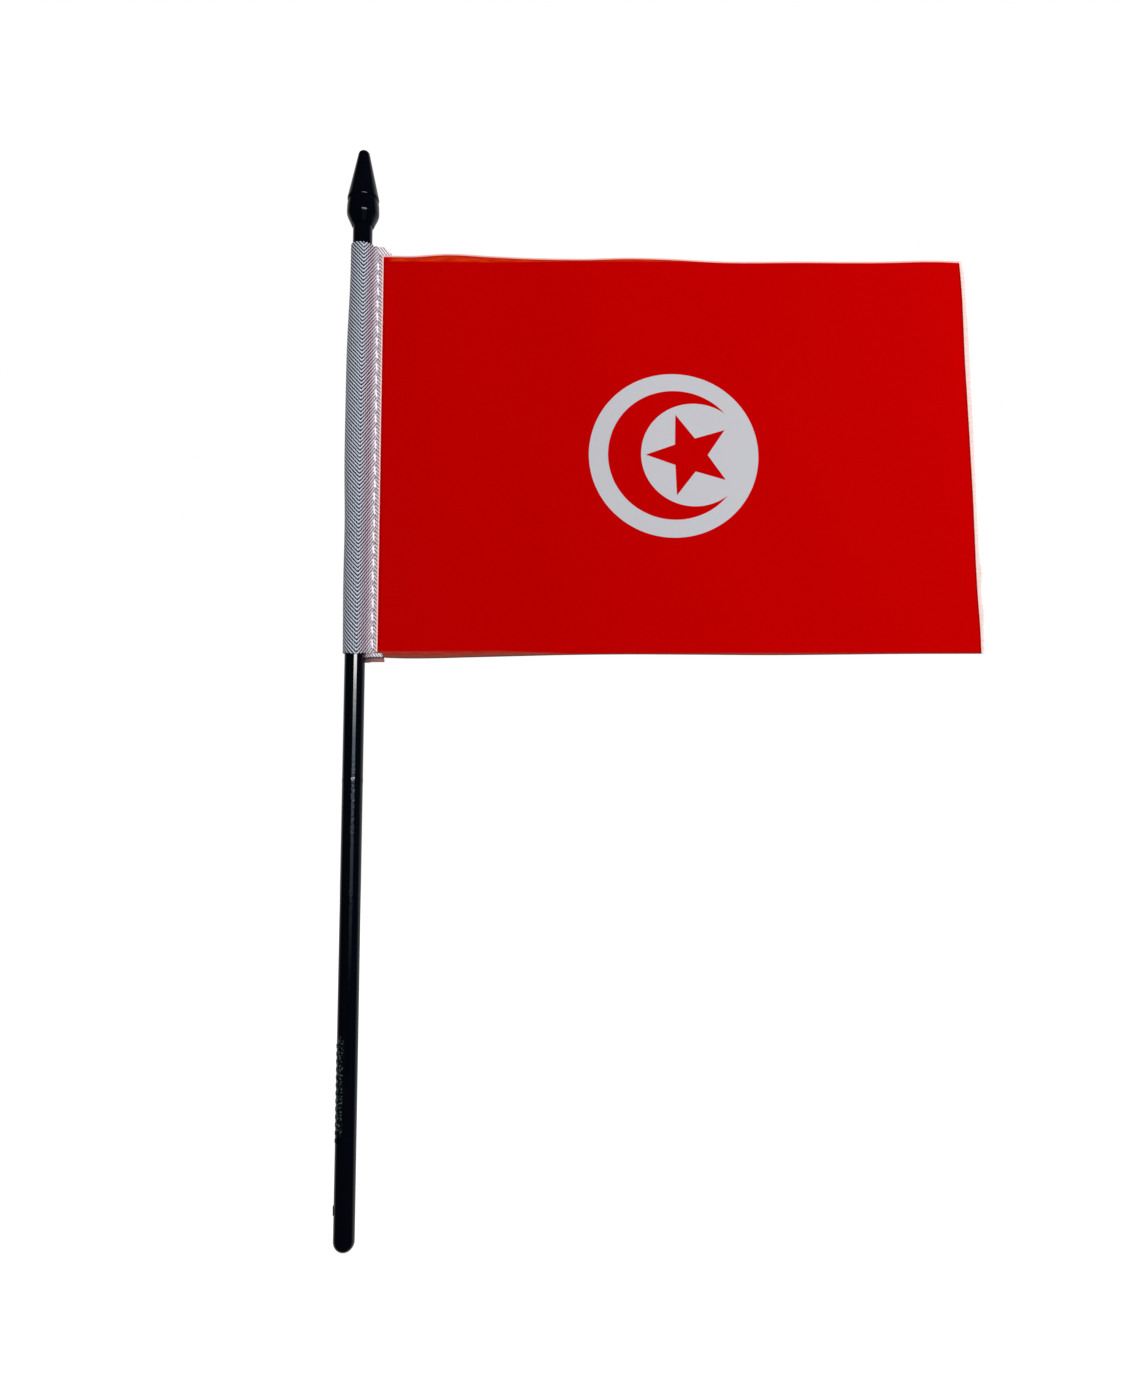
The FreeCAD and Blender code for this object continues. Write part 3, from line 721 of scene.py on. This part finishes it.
def cloth_material():
    """White polyester with a red printed field, a white disc, a red crescent and a red star.

    Its cut edges and the unprinted fly margin let some light through, which a faint glow stands in for.
    """
    material = bpy.data.materials.new("printed_cloth")
    nodes = Nodes(material)
    x, z = nodes.attribute("flat")[:2]
    cut_top, cut_bottom = nodes.attribute("cut")[:2]
    from_top, from_bottom, from_fly = nodes.attribute("inside")
    threads = nodes.wave(x, CLOTH_YARN) * nodes.wave(z, CLOTH_YARN)
    slubs = nodes.noise(nodes.vector(x * 3.0, z * 0.12, 0.0), 1.0, 3)
    shade = threads * 0.03 + (slubs - 0.5) * 0.10 + 0.5

    cool = (0.985, 0.99, 1.05)
    white = nodes.mix(shade, grey(0.68, cool), grey(0.80, cool))
    red = nodes.mix(shade, (0.62, 0.0001, 0.0001, 1), (0.74, 0.0003, 0.0003, 1))
    nearest = nodes.math("MINIMUM", nodes.math("MINIMUM", cut_top, cut_bottom), from_fly)
    red = nodes.mix(nodes.ramp(nearest, 0.55, 0.2, 0.0, 0.55), red, (0.22, 0.0, 0.0, 1))
    # painted shadow: the red is darkened in a narrow strip beside the band's front lip
    band_contact_shadow = nodes.ramp(x, FRONT_LIP + 0.9, FRONT_LIP + 0.1, 0.0, 0.6)
    red = nodes.mix(band_contact_shadow, red, (0.20, 0.002, 0.002, 1))
    printed = nodes.mix(ink_cover(nodes, x, z), white, red)

    patches = nodes.ramp(nodes.noise(nodes.vector(x * 0.25, z * 1.6, 0.0), 1.0, 3), 0.35, 0.65)
    # painted light: the top margin is painted bright orange-red for light shining through the cloth from
    # behind, darker at the cut
    backlit_top_margin = nodes.mix(patches, (0.72, 0.016, 0.003, 1), (0.95, 0.050, 0.008, 1))
    backlit_top_margin = nodes.mix(nodes.ramp(cut_top, 0.75, 0.45), backlit_top_margin, (0.46, 0.012, 0.006, 1))
    # painted shade: the bottom margin is painted brown, darkest at the cut
    shaded_low_margin = nodes.mix(patches, (0.46, 0.030, 0.018, 1), (0.52, 0.060, 0.038, 1))
    shaded_low_margin = nodes.mix(nodes.ramp(cut_bottom, 1.1, 0.1), shaded_low_margin, (0.28, 0.088, 0.062, 1))
    fly_margin = nodes.mix(patches, (0.90, 0.66, 0.60, 1), (0.94, 0.80, 0.76, 1))
    on_top = nodes.ramp(from_top, 0.15, -0.15) * nodes.ramp(x, FRONT_LIP + 1.2, FRONT_LIP + 2.4)
    on_fly = nodes.ramp(from_fly, SOFT_EDGE, -SOFT_EDGE)
    cut_line = nodes.ramp(cut_top, 0.45, 0.3, 0.0, 0.9)
    pink = (1.0, 0.50, 0.45, 1)
    colour = nodes.mix(on_top, printed, backlit_top_margin)
    colour = nodes.mix(nodes.ramp(from_bottom, 0.1, -0.35), colour, shaded_low_margin)
    colour = nodes.mix(on_fly, colour, fly_margin)
    colour = nodes.mix(cut_line, colour, pink)
    nodes.show_surface(
        Base_Color=colour,
        Roughness=nodes.ramp(slubs, 0.3, 0.7, 0.85, 0.95),
        Specular_IOR_Level=0.0,
        Emission_Color=nodes.mix(on_fly, pink, fly_margin),
        Emission_Strength=nodes.math("MAXIMUM", cut_line * 2.0, on_fly) * 0.16,
        Normal=nodes.bump(threads * 0.5 + slubs * 0.6, 0.00002, 0.4),
    )
    return material


def thread_material():
    """White twisted sewing thread, with painted shade where it dips into the needle holes and a painted glow
    on top of each stitch.
    """
    material = bpy.data.materials.new("sewing_thread")
    nodes = Nodes(material)
    angle, travelled, lift = nodes.attribute("twist")
    ply = nodes.math("COSINE", angle * PLY_COUNT - travelled * PLY_TWIST)
    fibre = nodes.noise(nodes.position(), 5000, 2)
    # painted light: darker where the thread dips into the needle holes, glowing on top of each stitch
    on_top = lift * lift
    white = nodes.mix(nodes.ramp(ply + fibre, -1.0, 1.6), grey(0.74, (1, 0.97, 1)), grey(0.97, (1, 0.99, 1)))
    nodes.show_surface(
        Base_Color=nodes.mix(on_top, grey(0.5, (1, 0.9, 0.97)), white),
        Roughness=nodes.ramp(fibre, 0.3, 0.7, 0.5, 0.7),
        Sheen_Weight=0.1,
        Emission_Color=(1.0, 0.96, 1.0, 1),
        Emission_Strength=on_top * 0.4,
        Normal=nodes.bump(ply + fibre, 0.00003, 0.5),
    )
    return material


def floor_material():
    """Pale floor that looks near white, takes a faint shadow, and lights the flag only softly."""
    material = bpy.data.materials.new("pale_floor")
    nodes = Nodes(material)
    diffuse = nodes.add("BsdfDiffuse", {"Color": grey(0.42)})
    glow = nodes.add("Emission", {"Strength": nodes.ramp(nodes.ray("Camera"), 0, 1, 0.2, 0.88)})
    nodes.show(nodes.add("AddShader", {0: diffuse.outputs[0], 1: glow.outputs[0]}))
    return material


def window_material():
    """A tall soft light, bright at its top and fading quickly to a long dim bluish tail.

    It is dimmer as seen from the finial, more than 240 mm up.
    """
    material = bpy.data.materials.new("window_light")
    nodes = Nodes(material)
    height = nodes.split(nodes.position())[2]
    climb = nodes.split(nodes.add("NewGeometry", {}).outputs["Incoming"])[2]
    seen_from = climb * WINDOW_AWAY + height

    def part(lowest, power, strength, on_finial):
        """Light that grows from lowest to the window's top; the finial sees only a share of its strength."""
        aimed = nodes.ramp(seen_from, 0.20, 0.24, strength, strength * on_finial)
        return nodes.math("POWER", nodes.ramp(height, lowest, WINDOW_TOP), power) * aimed

    bright = part(0.03, 7.0, 18.0, 0.35)
    dim = part(-0.06, 1.5, 2.9, 0.1)
    tint = nodes.mix(nodes.ramp(bright, 0.0, 4.0), (0.78, 1.0, 1.15, 1), (1, 1, 1, 1))
    nodes.show(nodes.add("Emission", {"Color": tint, "Strength": bright + dim}))
    return material


# ---------------------------------------------------------------- stage

def make_world():
    """White surround: white to the camera, softer as a light, and dark in reflections except at the back."""
    world = bpy.data.worlds.new("soft_white")
    bpy.context.scene.world = world
    nodes = Nodes(world)
    backwards = nodes.split(nodes.add("TexCoord", {}).outputs["Generated"])[1]
    mirrored = nodes.ramp(backwards, 0.1, 0.6, 0.015, 0.5)
    seen = nodes.ramp(nodes.ray("Camera"), 0, 1, 0.34, 1.0)
    strength = nodes.ramp(nodes.ray("Glossy"), 0, 1, seen, mirrored)
    nodes.show(nodes.add("Background", {"Color": grey(1), "Strength": strength}), "World")


def stage_plane(name, centre, across, up, half_width, half_height, material):
    """A flat stage panel, in metres."""
    corners = [(-1, -1), (1, -1), (1, 1), (-1, 1)]
    points = [centre + across * (half_width * a) + up * (half_height * b) for a, b in corners]
    mesh = bpy.data.meshes.new(name)
    mesh.from_pydata(points, [], [(0, 1, 2, 3)])
    mesh.materials.append(material)
    panel = link(name, mesh)
    return panel


def area_light(name, place, aim, size, power):
    """A square soft light, not seen in reflections."""
    light = bpy.data.lights.new(name, "AREA")
    light.size = size
    light.energy = power
    lamp = link(name, light)
    lamp.location = place
    lamp.rotation_euler = (Vector(aim) - Vector(place)).to_track_quat("-Z", "Y").to_euler()
    lamp.visible_glossy = False


def make_stage():
    """The floor, the window that the pole reflects, the surround and two soft lights."""
    right, back, up = Vector((1, 0, 0)), Vector((0, 1, 0)), Vector((0, 0, 1))
    floor = stage_plane("floor", Vector((0.07, 0, 0)), right, back, 30, 30, floor_material())
    floor.visible_glossy = False
    toward = Vector((math.cos(WINDOW_BEARING), math.sin(WINDOW_BEARING), 0))
    centre = toward * WINDOW_AWAY + up * WINDOW_MIDDLE
    window = stage_plane("window", centre, up.cross(toward), up, 0.18, 0.21, window_material())
    window.visible_camera = False
    window.visible_diffuse = False
    window.visible_shadow = False
    make_world()
    flag_middle = (0.08, 0, 0.18)
    area_light("key", (0.42, -0.42, 0.35), flag_middle, 0.3, 1.65)
    area_light("back_fill", (-0.3, 0.8, 0.45), flag_middle, 0.6, 3.0)


def make_camera():
    """Just below the middle of the pole and off to the fly side, looking slightly up."""
    camera = bpy.data.cameras.new("camera")
    camera.sensor_width = 36
    camera.lens = 26.106
    camera.clip_start, camera.clip_end = 0.01, 100
    place = Vector((47.4, -245.3, 102.7)) * MM
    forward = Vector((0.0138, 0.9934, 0.1141)).normalized()
    right = forward.cross(Vector((0.0033, -0.1141, 0.9935))).normalized()
    turn = Matrix((right, right.cross(forward), -forward)).transposed().to_4x4()
    holder = link("camera", camera)
    holder.matrix_world = Matrix.Translation(place) @ turn
    bpy.context.scene.camera = holder


def paint(node, material):
    """Give one node of the frame its material."""
    mesh = NODES[node].data
    mesh.materials.clear()
    mesh.materials.append(material)


plastic = plastic_material()
paint("pole", plastic)
paint("finial", plastic)
make_sleeve_band(band_material())
make_cloth_panel(cloth_material())
thread = thread_material()
make_stitches("stitches_front", -1, "needle_thread", thread)
make_stitches("stitches_back", 1, "bobbin_thread", thread)
make_stage()
make_camera()
bpy.context.scene.view_settings.view_transform = "Standard"
